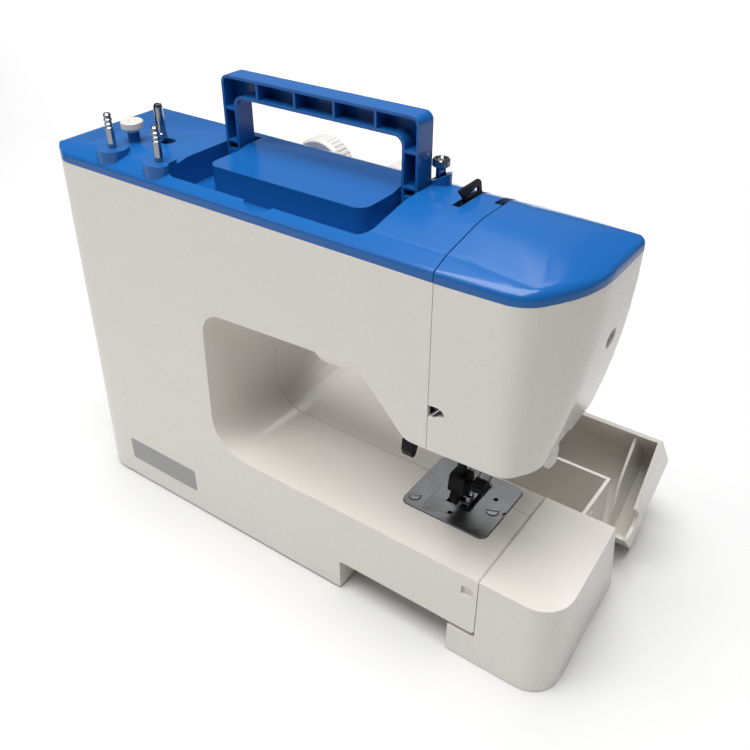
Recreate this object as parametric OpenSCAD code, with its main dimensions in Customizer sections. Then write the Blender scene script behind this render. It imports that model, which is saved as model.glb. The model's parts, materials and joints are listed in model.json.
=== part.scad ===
// Domestic free-arm sewing machine with its extension table and open accessory cover.
// Modelled on an axis set with x = 0 at the foot's step, y = 0 at the flat back and z = 0 at the table.
// +X runs to the hand wheel, +Y to the back and +Z up; at_origin() then moves the set to the part's own origin.

/* [Casing] */
// Height of the bed above the table
bed_z = 75; // [74:0.5:76]
// Underside of the free arm
arm_under_z = 27.4; // [26:0.2:28]
// Underside of the upper arm above the throat
throat_z = 190; // [188:1:191]
// Underside of the head
head_z = 158; // [156:1:160]
// Height of the seam between the white casing and the blue top
seam_z = 263; // [262:0.5:264]
// Highest level of the crowned top
crown_z = 280; // [279:0.5:281]
// Pillar's right side at the foot
pillar_x = 244; // [243:0.5:245]
// How far the pillar's right side leans in over its height
pillar_lean = 11; // [9:0.5:12]
// Throat's inner wall at the bed
throat_x = 110; // [108:0.5:111]
// Seam between the body casing and the face cover
face_x = -64.5; // [-65:0.5:-64]
// Outer end of the head
head_end_x = -135.5; // [-136:0.5:-135]
// End of the free arm
free_arm_x = -105; // [-105.5:0.5:-104.5]
// Seam between the rear and the front cover
cover_seam_y = -68; // [-69:0.5:-67]
// Front of the upper arm
arm_front_y = -100; // [-101:0.5:-99]
// Front of the free arm
free_front_y = -89.5; // [-90:0.5:-89]
// Front of the base
base_front_y = -155; // [-156:0.5:-154]
// Where the base block ends and the free arm's front begins
base_block_x = -22; // [-23:0.5:-21]
// Casing wall
wall = 3; // [2.5:0.1:3]

/* [Needle and drive] */
// Needle line along X
needle_x = -62; // [-62.5:0.5:-61.5]
// Needle line and upper shaft along Y
needle_y = -62; // [-62.5:0.5:-61.5]
// Upper shaft height
shaft_z = 228; // [227:0.5:229]
// Upper shaft radius
shaft_r = 6; // [5.5:0.25:6]
// Crank throw, half of the needle stroke
crank_r = 15; // [13:0.5:15]
// Lower shaft and hook height
hook_z = 50; // [49:0.5:50]
// Lower shaft along Y
lower_y = -30; // [-31:0.5:-29]
// Hand wheel radius
wheel_r = 30; // [28:1:30]
// Hand wheel's outer face
wheel_x = 256; // [254:0.5:258]

/* [Handle] */
// Outer width of the carry handle
handle_w = 144; // [142:0.5:144]
// Right side of the handle
handle_x = 128; // [127:0.5:128.5]
// Top of the handle when upright
handle_top_z = 319.5; // [316:0.5:319.5]
// Pivot height
pivot_z = 266; // [265.5:0.5:266]
// Pivot along Y
pivot_y = -67; // [-67.5:0.5:-66.5]

/* [Extension table] */
// End face of the extension table
table_x = -157; // [-158:0.5:-156]
// How far the accessory cover stands open
open_deg = 50; // [40:1:52]
// Hinge line of the accessory cover along Y
hinge_y = -150; // [-150.5:0.5:-149.5]
// Hinge line of the accessory cover above the table
hinge_z = 5; // [5:0.5:6]

/* [Hidden] */
$fn = 48;

white = [0.90, 0.89, 0.87];
blue = [0.11, 0.44, 0.75];
dark = [0.08, 0.08, 0.09];
steel = [0.72, 0.73, 0.75];
cast = [0.55, 0.56, 0.58];

base_z = 2;                       // underside of the casing, above the feet
label_t = 0.3;                    // thickness of the rating label
lean_deg = atan2(pillar_lean, seam_z - base_z);
cover_r = 12;                     // front top edge of the accessory cover
corner_dy = hinge_y - base_front_y - cover_r;
corner_dz = bed_z - cover_r - hinge_z;
open_front_y = hinge_y - corner_dy * cos(open_deg) - corner_dz * sin(open_deg) - cover_r;
mid_x = (wheel_x + table_x) / 2;
mid_y = (label_t + open_front_y) / 2;
presser_y = -50;                  // presser bar along Y
plate_top_z = 76;
run = 0.05;                       // radial clearance of a running fit
slot_x = -45;                     // centre plane of the take-up lever
slot_w = 2.4;                     // half the width of its slot
thread_slot_x = -59.3;            // right edge of the thread's slot at the seam
belt_x = [186, 194];              // timing belt across X
motor_belt_x = [207, 215];        // motor belt across X
motor_yz = [-101, 40];
motor_shaft_r = 2.5;
lifter_yz = [-30, 172];
dial_z = 253.5;
flange_x = 231;                   // edge of the casing's bottom flange

// ---- helpers -------------------------------------------------------------------------------
module at_origin() { translate([-mid_x, -mid_y, 0]) children(); }
module along_x(x0, x1) { translate([x0, 0, 0]) rotate([90, 0, 90]) linear_extrude(x1 - x0) children(); }
module along_y(y0, y1) { translate([0, y1, 0]) rotate([90, 0, 0]) linear_extrude(y1 - y0) children(); }
module along_z(z0, z1) { translate([0, 0, z0]) linear_extrude(z1 - z0) children(); }
module box(lo, hi) { translate(lo) cube(hi - lo); }
module rod_x(x0, x1, yz, r) { along_x(x0, x1) translate(yz) circle(r); }
module rod_y(y0, y1, xz, r) { along_y(y0, y1) translate(xz) circle(r); }
module rod_z(z0, z1, xy, r) { along_z(z0, z1) translate(xy) circle(r); }

// A polygon from [x, y, corner radius] points, each corner rounded by an arc.
function unit(v) = v / norm(v);
function xy(p) = [p.x, p.y];
function fillet(p, q, s, n) =
    let (u = unit(xy(p) - xy(q)), w = unit(xy(s) - xy(q)), half = acos(u * w) / 2, r = q.z)
    r == 0 ? [xy(q)] :
    let (c = xy(q) + unit(u + w) * r / sin(half), a = xy(q) + u * r / tan(half),
         b = xy(q) + w * r / tan(half), a0 = atan2(a.y - c.y, a.x - c.x),
         turn = atan2(b.y - c.y, b.x - c.x) - a0,
         da = turn > 180 ? turn - 360 : turn < -180 ? turn + 360 : turn)
    [for (i = [0:n]) c + r * [cos(a0 + da * i / n), sin(a0 + da * i / n)]];
function rounded(pts, n = 6) =
    let (k = len(pts)) [for (i = [0:k - 1]) each fillet(pts[(i + k - 1) % k], pts[i], pts[(i + 1) % k], n)];
module round_rect(lo, hi, r) {
    polygon(rounded([[lo.x, lo.y, r], [hi.x, lo.y, r], [hi.x, hi.y, r], [lo.x, hi.y, r]], 5));
}
// Closed outline of a belt round two pulleys.
module belt_outline(c1, r1, c2, r2) {
    d = c2 - c1;
    a = atan2(d.y, d.x);
    b = acos((r1 - r2) / norm(d));
    polygon([
        for (i = [0:20]) let (t = a + b + (360 - 2 * b) * i / 20) c1 + r1 * [cos(t), sin(t)],
        for (i = [0:20]) let (t = a - b + 2 * b * i / 20) c2 + r2 * [cos(t), sin(t)]
    ]);
}
module belt(x, c1, r1, c2, r2, t) {
    difference() {
        along_x(x[0], x[1]) belt_outline(c1, r1 + t, c2, r2 + t);
        along_x(x[0] - 1, x[1] + 1) belt_outline(c1, r1, c2, r2);
    }
}

// ---- casing --------------------------------------------------------------------------------
// Front view outline of the body; i insets it by the wall, and drop lowers its open bottom.
module body_front(i = 0, drop = 0, lift = 0, end = 0) {
    polygon(rounded([
        [i, base_z - drop, 0.5], each (drop > 0 ?
            [[flange_x, base_z - drop, 0], [flange_x, base_z + i, 0], [pillar_x - i, base_z + i, 9]] :
            [[pillar_x, base_z, 12]]),
        [pillar_x - pillar_lean - i, seam_z + lift, 0], [face_x - end, seam_z + lift, 0],
        [face_x - end, head_z + i, 0], [-50, head_z + i, 10 - i], [-17, throat_z + 5 + i, 12 + i],
        [throat_x - 4 + i, throat_z - 1 + i, 18 + i], [throat_x + i, bed_z - i, 27 - i],
        [free_arm_x + i, bed_z - i, 2], [free_arm_x + i, arm_under_z + i, 3],
        [i, arm_under_z + i, 2]
    ]));
}
// Side view outline of the front: base, front of the pillar and front of the arm.
module body_side(i = 0, drop = 0, lift = 0) {
    polygon(rounded([
        [10, base_z - drop, 0], [base_front_y + i, base_z - drop, 3],
        [base_front_y + i, bed_z - i, 9], [arm_front_y - 14 + i, bed_z - i, 34 + i],
        [arm_front_y + i, throat_z + 10, 60], [arm_front_y + i, seam_z + lift, 0],
        [10, seam_z + lift, 0]
    ]));
}
// Upright prism with the pillar's rounded back and front corners, leaning with its side.
module pillar_plan(i = 0, front = -400) {
    translate([pillar_x - i, -i, base_z]) rotate([0, -lean_deg, 0]) translate([0, 0, -20])
        linear_extrude(340) polygon(rounded([[-500, front, 0], [0, front, 22 - i], [0, 0, 20 - i],
            [-500, 0, 0]]));
}
module body_solid() {
    difference() {
        intersection() {
            along_y(base_front_y - 1, 0) body_front();
            along_x(-200, 300) body_side();
            pillar_plan(0, base_front_y);
        }
        box([free_arm_x - 5, base_front_y - 5, 0], [base_block_x, free_front_y, head_z - 10]);
        box([-200, -200, head_z + 2], [face_x, 5, seam_z + 5]);
    }
}
module body_hollow() {
    difference() {
        intersection() {
            along_y(base_front_y - 1, -wall) body_front(wall, 5, 5, 5);
            along_x(-200, 300) body_side(wall, 5, 5);
            pillar_plan(wall, base_front_y + 2 * wall);
        }
        box([free_arm_x - 5, base_front_y - 5, -5], [base_block_x + wall, free_front_y + wall, head_z - 10]);
    }
}
// Everything cut through the body shells, whichever half it falls in.
module body_cuts() {
    // needle plate recess and the hole under it
    along_z(74, bed_z + 5) plate_outline(0.15);
    box([-87, -83, 68], [-31.5, -36, bed_z + 5]);
    // opening round the needle and presser bars, and the slot of the presser lifter
    box([face_x - 1, -84, 150], [-53, -38, 172]);
    box([-59, -37, 150], [lifter_x + 2, -3.5, 180]);
    // take-up slot, open over the top and down the front
    box([slot_x - slot_w, arm_front_y - 5, 225], [slot_x + slot_w, arm_front_y + 8, seam_z + 5]);
    box([face_x - 1, arm_front_y - 5, 225], [thread_slot_x, arm_front_y + 8, seam_z + 5]);
    // thumb wheel slot of the tension dial
    box([-19, arm_front_y - 5, 216], [-9, arm_front_y + 10, 256]);
    // spindles of the two front dials
    rod_y(arm_front_y - 6, arm_front_y + 8, [88, dial_z], 4.6);
    rod_y(arm_front_y - 6, arm_front_y + 8, [25, dial_z], 4.6);
    // reverse lever window
    box([16, arm_front_y - 10, 205], [34, arm_front_y + 8, 221]);
    // upper shaft through the pillar's side
    rod_x(225, 250, [needle_y, shaft_z], 9);
    // power inlet and switch
    box([232, -113, 38], [250, -81, 62]);
    box([232, -108, 72], [250, -86, 88]);
    // hook access
    box([-86, free_front_y - 5, 33], [-38, free_front_y + 10, 69]);
    // catch pocket of the extension table on the back
    box([-102, -2, 58], [-94, 5, 65]);
}
module plate_outline(grow = 0) {
    round_rect([-91 - grow, -87 - grow], [-28 + grow, -31 + grow], 5.5);
}
module rear_cover() {
    color(white) at_origin() difference() {
        intersection() {
            body_solid();
            box([-300, cover_seam_y + 0.15, -10], [300, 10, 300]);
        }
        body_hollow();
        body_cuts();
    }
}
module front_cover() {
    color(white) at_origin() difference() {
        intersection() {
            body_solid();
            box([-300, -200, -10], [300, cover_seam_y - 0.15, 300]);
        }
        body_hollow();
        body_cuts();
    }
}

// Plan of the head at the share t of its height below the seam; i insets it.
function mix(a, b, k) = a + (b - a) * k;
function head_plan(t = 0, i = 0, x = face_x - 0.3) =
    let (k = t * t)
    rounded([[x, -i, 0],
        mix([-113.2, -2, 22], [-112.5, -2, 14], k) + i * [0.54, -1, -0.5],
        mix([head_end_x, -35.4, 70], [head_end_x + 10.9, -20, 28], k) + i * [1, -0.3, -1],
        mix([head_end_x, arm_front_y, 6.5], [head_end_x + 13.2, arm_front_y, 6.5], k) + i * [1, 1, -1],
        [x, arm_front_y + i, 0]], 8);
function seam_side(i) = face_x + (i > 0 ? 5 : -0.3);
module head_solid(i, z0, z1) {
    slices = 6;
    hull() for (k = [0:slices]) {
        z = mix(z0, z1 - 0.1, k / slices);
        along_z(z, z + 0.1) polygon(head_plan(max(0, (seam_z - z) / (seam_z - head_z)), i, seam_side(i)));
    }
}
// The blue cap over the head: an upright band, a small edge rounding and a low dome that
// falls from the crown at the seam to a level edge round the end.
rim_z = 270;                      // level edge of the dome
function crown_at(y) = lookup(y, [for (p = crown_line()) [p.x, p.y]]);
function plan_back(x, i) = lookup(x, [for (p = head_plan(0, i)) if (p.y > -60) [p.x, p.y]]);
module head_cap(i, z0) {
    edge = [[0, z0], [0, 266], [0.5, 267.9], [1.5, 269.1], [3.5, rim_z]];
    y0 = arm_front_y + 3.5 + i;
    hull() {
        for (e = edge) along_z(e[1] - i - 0.05, e[1] - i) polygon(head_plan(0, i + e[0], seam_side(i)));
        along_x(seam_side(i) - 0.1, seam_side(i)) crown_side(i, z0);
        for (t = [0.2, 0.4, 0.6, 0.75, 0.9, 1]) {
            x = mix(face_x, head_end_x + 4 + i, t);
            y1 = plan_back(x, i + 3.5);
            along_x(x, x + 0.05) polygon([[y1, 266 - i], [y0, 266 - i],
                for (k = [0:12]) let (y = mix(y0, y1, k / 12))
                    [y, rim_z - i + max(0, crown_at(y) - rim_z) * (1 - pow(t, 2.4))]]);
        }
    }
}
face_screw_yz = [-73.5, 218.5];
cutter_notch = rounded([[face_x + 1, 181, 0], [-67.5, 181, 1.5], [-75.5, 184.6, 1.5], [-72.5, 189, 5],
    [face_x + 1, 188.8, 0]], 5);
module face_cover() {
    color(white) at_origin() difference() {
        union() {
            difference() {
                head_solid(0, head_z, seam_z - 0.15);
                head_solid(wall, head_z + wall, seam_z + 4);
            }
            // pocket of the thread cutter
            box([-78, -8.5, 178], [face_x - 0.3, -1, 192]);
            // tube round the screw recess
            rod_x(head_end_x + 5, head_end_x + 14, face_screw_yz, 8);
        }
        // opening in the underside round the needle and presser bars
        box([-92, -90, head_z - 3], [face_x + 2, -30, head_z + 6]);
        // slot for the threader lever
        box([-125, -62, head_z - 3], [-112, -40, head_z + 6]);
        along_y(-6.5, 2) polygon(cutter_notch);
        // screw recess in the end face
        rod_x(-140, head_end_x + 11, face_screw_yz, 6);
        rod_x(-140, head_end_x + 15, face_screw_yz, 1.9);
        // seat of the lamp
        rod_z(head_z - 3, head_z + 6, lamp_xy, 5);
    }
}

// Side view outline of the blue top.
function crown_line(i = 0, low = seam_z) = rounded([
    [-i, low, 0], [-i, seam_z + 6 - i, 3], [-12, 273.6 - i, 20], [-45, crown_z - i, 70],
    [-78, crown_z - 0.5 - i, 30], [arm_front_y + i, seam_z + 7 - i, 8], [arm_front_y + i, low, 0]]);
module crown_side(i = 0, low = seam_z) { polygon(crown_line(i, low)); }
module crown_front(i = 0, low = seam_z) {
    right = pillar_x - pillar_lean - i;
    polygon(rounded([[right, low, 0], [right, seam_z + 9 - i, 8], [204, crown_z - 5 - i, 50],
        [-20, crown_z - i, 200], [-150, crown_z - i, 0], [-150, low, 0]]));
}
module crown(i = 0, low = seam_z) {
    intersection() {
        along_x(-160, 240) crown_side(i, low);
        along_y(-120, 0) crown_front(i, low);
        pillar_plan(i, arm_front_y);
    }
}
// Plan of the well that takes the folded handle, round a raised block.
well_back_y = -7.5;
well_front_y = -79;
well_x = [handle_x - handle_w - 2.5, handle_x + 2.5];
module well_plan(grow = 0) {
    round_rect([well_x[0] - grow, well_front_y - grow], [well_x[1] + grow, well_back_y + grow], 8 + grow);
}
module block_plan(inset = 0) {
    polygon(rounded([[-2 + inset, well_front_y - 5, 0], [115 - inset, well_front_y - 5, 0],
        [115 - inset, -28.4 - inset, 8], [-2 + inset, -28.4 - inset, 8]]));
}
module top_cover() {
    well_z = 258;
    block_z = 275.2;              // flat top of the raised block
    color(blue) at_origin() difference() {
        union() {
            difference() {
                crown();
                crown(2.5, seam_z - 1);
            }
            intersection() {
                along_z(well_z - 2.5, 290) well_plan(2.5);
                crown(0, well_z - 3);
            }
            // bosses of the two spool pins, the winder stop's stem and the guide's collar
            for (x = spool_x) rod_z(seam_z, 277.5, [x, spool_y], 10);
            rod_z(268, 281.5, [180.5, -30], 3.75);
            // collar of the thread guide, its rim falling towards the spools
            difference() {
                rod_z(272, 291, guide_xy, 6.6);
                translate([guide_xy.x, guide_xy.y, 283.2]) rotate([0, 27, 0]) box([-20, -20, 0], [20, 20, 20]);
            }
            // floor under the finger notch
            intersection() {
                box([42, -9, 265], [68, -1, 275]);
                crown(0.2, 264);
            }
        }
        difference() {
            along_z(well_z, 300) well_plan();
            along_z(well_z - 1, 300) block_plan();
        }
        // flat top of the raised block, rising to the crest in front of the handle
        intersection() {
            along_x(-10, 120) polygon([[-20, block_z], [-56, block_z], [well_front_y, crown_z],
                [well_front_y, 300], [-20, 300]]);
            along_z(well_z, 300) block_plan();
        }
        // underside of the raised block
        intersection() {
            along_z(well_z - 5, block_z - 2.5) block_plan(2.5);
            crown(2.5, well_z - 5);
        }
        box([-300, -200, 200], [face_x + 0.3, 10, 300]);
        rod_z(279, 292, guide_xy, 5.2);
        // finger notch in the well's back margin
        along_z(268.2, 290) polygon(rounded([[66, -20, 0], [66, -6.5, 5], [58, -1.3, 6], [50.5, -1.3, 5],
            [44.5, -7, 5], [44.5, -20, 0]], 5));
        for (x = spool_x) {
            rod_z(250, 290, [x, spool_y], spool_r + run);
            rod_z(250, 271, [x, spool_y], 4.2);
        }
        // winder slot along X
        along_z(260, 290) round_rect([157, -46], [174.5, -36.5], 4.5);
        // take-up slot and the thread's slot beside the seam
        box([slot_x - slot_w, arm_front_y - 5, 255], [slot_x + slot_w, -52, 300]);
        box([face_x, arm_front_y - 5, 255], [thread_slot_x, -68, 300]);
        // pivot bores of the handle
        rod_x(well_x[0] - 6, well_x[1] + 6, [pivot_y, pivot_z], 3);
    }
}
module face_top_cover() {
    color(blue) at_origin() difference() {
        head_cap(0, seam_z);
        head_cap(2.5, seam_z - 2);
    }
}
module base_plate() {
    color(cast) at_origin() difference() {
        along_z(base_z, base_z + 2.5) polygon(rounded([[wall + 0.4, base_front_y + wall + 0.4, 4],
            [flange_x - 0.4, base_front_y + wall + 0.4, 16], [flange_x - 0.4, -wall - 0.4, 12],
            [wall + 0.4, -wall - 0.4, 4]]));
        for (p = screw_xy) rod_z(0, 10, p, 2.1);
        for (p = foot_xy) rod_z(0, 10, p, 3);
    }
}
screw_xy = [[40, -20], [40, -136], [110, -20], [110, -136], [222, -50], [222, -100]];
foot_xy = [[14, -14], [14, -142], [220, -16], [220, -140]];
module rubber_feet() {
    color(dark) at_origin() for (p = foot_xy) {
        rod_z(0, base_z, p, 8);
        rod_z(base_z, base_z + 2.5, p, 3);
    }
}
module cover_screws() {
    color(steel) at_origin() {
        for (p = screw_xy) difference() {
            union() {
                rod_z(0.4, base_z, p, 4);
                rod_z(base_z, 12, p, 2);
            }
            box([p.x - 3, p.y - 0.5, 0], [p.x + 3, p.y + 0.5, 1.2]);
            box([p.x - 0.5, p.y - 3, 0], [p.x + 0.5, p.y + 3, 1.2]);
        }
        difference() {
            union() {
                rod_x(head_end_x + 9, head_end_x + 11, face_screw_yz, 3.8);
                rod_x(head_end_x + 11, head_end_x + 24, face_screw_yz, 1.8);
            }
            translate([head_end_x + 8, face_screw_yz.x, face_screw_yz.y]) {
                box([0, -0.5, -3], [1.9, 0.5, 3]);
                box([0, -3, -0.5], [1.9, 3, 0.5]);
            }
        }
    }
}
module rating_label() {
    color([0.8, 0.8, 0.79]) at_origin() along_y(0, label_t) round_rect([137, 19.6], [207, 39], 1.5);
}

// ---- bed -----------------------------------------------------------------------------------
feed_slots = [[-71, -67.5], [-56.5, -53]];
module needle_plate() {
    color([0.36, 0.37, 0.38]) at_origin() difference() {
        along_z(74, plate_top_z) plate_outline();
        for (s = feed_slots) box([s[0], -77, 70], [s[1], -48, 80]);
        box([-64, -56, 70], [-60, -48, 80]);
        along_z(70, 80) round_rect([-66.5, needle_y - 1.4], [-57.5, needle_y + 1.4], 1.3);
        for (p = plate_screw_xy) {
            rod_z(70, 80, p, 2.1);
            rod_z(75, 80, p, 4.2);
        }
        for (p = [[-79.4, -67.9], [-60.9, -40]]) rod_z(70, 80, p, 1.5);
        // lifting notch in the edge
        along_z(70, 80) translate([-91, -59]) circle(1.6);
    }
}
plate_screw_xy = [[-83, -56.7], [-33.9, -40]];
module plate_screws() {
    color(steel) at_origin() for (p = plate_screw_xy) difference() {
        union() {
            rod_z(75, 76.6, p, 3.9);
            rod_z(64, 75, p, 2);
        }
        translate([p.x, p.y, 76]) rotate([0, 0, 20]) box([-5, -0.5, 0], [5, 0.5, 2]);
    }
}
module thread_cutter() {
    color(steel) at_origin() union() {
        along_y(-6.5, -1.2) polygon([[-71.4, 188.4], [-72, 187.9], [-66.8, 181.4], [-66.2, 181.9]]);
        along_y(-6.5, -5.9)
            polygon([[-71.4, 188.4], [-72, 187.9], [-66.8, 181.4], [-65.2, 181.4], [-65.2, 184]]);
    }
}

// ---- handle, spool pins, winder ------------------------------------------------------------
handle_bar = 13;                  // height of the grip
handle_leg = 11;                  // width of a leg
handle_y = [-74, -60];            // front and back faces
module handle_outline(i, foot) {
    x0 = handle_x - handle_w;
    difference() {
        polygon(rounded([[x0 + i, foot, 0], [handle_x - i, foot, 0],
            [handle_x - i, handle_top_z - i, 5 - i], [x0 + i, handle_top_z - i, 5 - i]]));
        polygon(rounded([[x0 + handle_leg - i, foot - 1, 0], [handle_x - handle_leg + i, foot - 1, 0],
            [handle_x - handle_leg + i, handle_top_z - handle_bar + i, 5 + i],
            [x0 + handle_leg - i, handle_top_z - handle_bar + i, 5 + i]]));
    }
}
module carry_handle() {
    x0 = handle_x - handle_w;
    color(blue) at_origin() difference() {
        union() {
            difference() {
                along_y(handle_y[0], handle_y[1]) handle_outline(0, pivot_z);
                along_y(handle_y[0] + 3, handle_y[1] + 1) handle_outline(1.8, pivot_z + 8);
            }
            // ribs across the grip and the legs
            for (k = [1:4]) box([x0 + handle_w * k / 5 - 0.8, handle_y[0] + 2, handle_top_z - handle_bar + 1],
                [x0 + handle_w * k / 5 + 0.8, handle_y[1], handle_top_z - 1]);
            for (x = [x0 + 1, handle_x - handle_leg + 1], z = [278, 298.4])
                box([x, handle_y[0] + 2, z], [x + handle_leg - 2, handle_y[1], z + 1.6]);
            // rounded hinge ends
            for (x = [x0, handle_x - handle_leg]) rod_x(x, x + handle_leg, [pivot_y, pivot_z], 7);
        }
        rod_x(x0 - 5, handle_x + 5, [pivot_y, pivot_z], 3 + run);
    }
}
spool_x = [136.9, 178.9];
spool_y = -11;
spool_r = 2.5;
module spool_pin(x) {
    groove = spool_r - 0.4;
    color(steel) at_origin() translate([x, spool_y, 0]) rotate_extrude() polygon([
        [0, 243], [3.9, 243], [3.9, 245], [spool_r, 245],
        // three grooves near the tip
        for (z = [290, 292.6, 295.2]) each [[spool_r, z], [groove, z + 0.4], [groove, z + 1.2],
            [spool_r, z + 1.6]],
        [spool_r - 0.1, 298], [1.6, 298.9], [0, 299.2]
    ]);
}
module spool_pin_left() { spool_pin(spool_x[0]); }
module spool_pin_right() { spool_pin(spool_x[1]); }
module winder_stop() {
    color(white) at_origin() translate([180.5, -30, 0]) rotate_extrude() polygon([
        [0, 281.5], [3.2, 281.5], [3.2, 284], [6.6, 284], [7.25, 284.7], [7.25, 288.3], [6.5, 289],
        [2.6, 289], [2.2, 288.2], [0, 288]
    ]);
}
winder_xy = [166, -40.5];
winder_pivot = [158, -72];
module winder_arm() {
    color(cast) at_origin() difference() {
        hull() {
            rod_z(262, 265.5, winder_xy, 6);
            rod_z(262, 265.5, winder_pivot, 6);
        }
        rod_z(255, 270, winder_xy, 2.4 + run);
        rod_z(255, 270, winder_pivot, 2.5 + run);
    }
}
module winder_spindle() {
    color(steel) at_origin() translate([winder_xy.x, winder_xy.y, 0]) difference() {
        rotate_extrude() polygon([
            [0, 252], [10, 252], [10, 259], [4.5, 259], [4.5, 261.8], [2.4, 261.8], [2.4, 265.8],
            [3.4, 265.8], [3.4, 281], [3, 281.5], [3, 297.5], [2.2, 299.3], [0, 299.6]
        ]);
        box([-0.6, -5, 286], [0.6, 5, 301]);
    }
}
guide_xy = [-20.6, -76.4];
module thread_guide() {
    color(steel) at_origin() translate([guide_xy.x, guide_xy.y, 0]) difference() {
        rotate_extrude() polygon([
            [0, 279], [4.2, 279], [4.2, 280], [2.9, 280.8], [2.9, 288], [4.4, 289.2], [5.1, 289.6],
            [5.1, 292.8], [4.5, 293.6], [3.4, 293.6], [2.6, 292.6], [0, 292.4]
        ]);
        // knurled edge
        for (k = [0:23]) rotate([0, 0, 15 * k]) translate([5.55, 0, 288]) cylinder(h = 7, r = 0.7, $fn = 12);
    }
}
take_up_yz = [-38, 246];
module take_up_lever() {
    color(dark) at_origin() difference() {
        along_x(slot_x - 0.8, slot_x + 0.8) difference() {
            polygon(rounded([[-31.5, 248, 5.5], [-33, 239.5, 5], [-43, 239.5, 4.5], [-72, 272, 5],
                [-79.8, 277.5, 1.5], [-77.8, 285.5, 1], [-75.5, 287.6, 1], [-54, 287.6, 0.8],
                [-62.5, 279, 4], [-50, 262, 15]], 4));
            polygon(rounded([[-66, 280.3, 0.6], [-76.4, 280.4, 0.8], [-74.6, 284.2, 0.6],
                [-61.6, 281.4, 0.4]], 3));
        }
        rod_x(slot_x - 3, slot_x + 3, take_up_yz, 2.5 + run);
    }
}

// ---- frames --------------------------------------------------------------------------------
lamp_xy = [-104, -74];
swing_xz = [-71, 252];            // pin that the needle bar's frame swings on
post_x = [150, 164];
module arm_frame() {
    color(cast) at_origin() difference() {
        union() {
            box([post_x[0], -76, base_z + 2.5], [post_x[1], -16, 245]);
            box([-34, -76, 200], [post_x[0], -22, 208]);
            box([-34, -76, 200], [-22, -22, 250]);
            // back plate of the head with two arms that guide the presser bar
            box([-70, -42, 166], [-52, -37, 201]);
            box([-76, -42, 200], [-34, -37, 257]);
            for (z = [168, 231]) box([-68, -54.5, z], [-56, -41, z + 8]);
            // lug of the presser lifter
            box([-64, -38, 166], [-58.5, -24, 179]);
        }
        rod_x(post_x[0] - 5, post_x[1] + 5, [needle_y, shaft_z], 9);
        rod_x(-40, -15, [needle_y, shaft_z], 9);
        rod_x(post_x[0] - 5, post_x[1] + 5, [lower_y, hook_z], 7);
        rod_z(160, 252, [needle_x, presser_y], 3 + run);
        rod_y(-60, -30, swing_xz, 1.8);
        // window for the take-up lever
        box([slot_x - 3.5, -45, 228], [slot_x + 3.5, -35, 260]);
        rod_x(-50, -20, take_up_yz, 2.5);
        rod_x(-70, -50, lifter_yz, 2);
        rod_z(235, 250, winder_pivot, 2.5);
        // window for the presser bar's lug
        box([-60, -45, 175], [-49, -35.9, 196]);
        // lightening holes in the post
        for (z = [90, 130, 170]) rod_x(post_x[0] - 5, post_x[1] + 5, [-52, z], 14);
    }
}
module bed_frame() {
    color(cast) at_origin() difference() {
        union() {
            box([-98, -84, 30.6], [104, -10, 33.4]);
            box([104, -72, 30.6], [post_x[0], -10, 33.4]);
            for (x = [14, 60]) box([x, -42, 33], [x + 12, -18, 61]);
            box([-72, -54.5, 33], [-52, -49, 61]);
        }
        rod_x(0, 90, [lower_y, hook_z], 7);
        rod_y(-60, -45, [needle_x, hook_z], 6);
    }
}
module shaft_bush_x(x0, x1, yz, r_out, r_in) {
    difference() {
        rod_x(x0, x1, yz, r_out);
        rod_x(x0 - 1, x1 + 1, yz, r_in);
    }
}
module shaft_bushes() {
    color([0.78, 0.6, 0.3]) at_origin() {
        shaft_bush_x(post_x[0], post_x[1], [needle_y, shaft_z], 9, shaft_r + run);
        shaft_bush_x(-34, -22, [needle_y, shaft_z], 9, shaft_r + run);
        for (x = [14, 60, post_x[0]]) shaft_bush_x(x, x + 12, [lower_y, hook_z], 7, 4 + run);
        difference() {
            rod_y(-54.5, -49, [needle_x, hook_z], 6);
            rod_y(-56, -45, [needle_x, hook_z], 3.5 + run);
        }
    }
}
module pivot_pins() {
    color(steel) at_origin() {
        rod_x(-48, -24, take_up_yz, 2.5);
        rod_y(-69, -37, swing_xz, 1.8);
        rod_x(-64, -45, lifter_yz, 2);
        rod_z(235, 268, winder_pivot, 2.5);
        // hinge pins of the carry handle
        rod_x(well_x[0] - 2.5, well_x[0] + handle_leg + 4, [pivot_y, pivot_z], 3);
        rod_x(well_x[1] - handle_leg - 4, well_x[1] + 2.5, [pivot_y, pivot_z], 3);
    }
}

// ---- upper drive ---------------------------------------------------------------------------
module on_shaft_x(x, yz) { translate([x, yz.x, yz.y]) rotate([0, 90, 0]) children(); }
module main_shaft() {
    color(steel) at_origin() rod_x(-37, wheel_x - 6, [needle_y, shaft_z], shaft_r);
}
module crank_disc() {
    color(cast) at_origin() difference() {
        union() {
            rod_x(-41, -37.5, [needle_y, shaft_z], 19);
            rod_x(-43.2, -41, [needle_y, shaft_z + crank_r], 3);
            rod_x(-37.5, -35, [needle_y, shaft_z], 10);
        }
        rod_x(-40, -30, [needle_y, shaft_z], shaft_r);
        for (side = [-1, 1]) rod_x(-45, -30, [needle_y + 8 * side, shaft_z + 10], 2.5);
    }
}
module hand_wheel() {
    color(white) at_origin() on_shaft_x(0, [needle_y, shaft_z]) difference() {
        rotate_extrude() polygon(concat(
            [[shaft_r, 236], [26, 236]], rounded([[26, 236, 0], [wheel_r, 237.5, 1.5], [wheel_r, 254, 2.5],
            [25.5, wheel_x, 1.5], [23.5, wheel_x, 1], [21, 251, 2], [10, 251, 1],
            [9.5, wheel_x - 1, 1], [shaft_r, wheel_x - 1, 0]], 3)));
        for (k = [0:29]) rotate([0, 0, k * 12]) translate([wheel_r + 0.9, 0, 230]) cylinder(h = 30, r = 1.6);
    }
}
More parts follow.
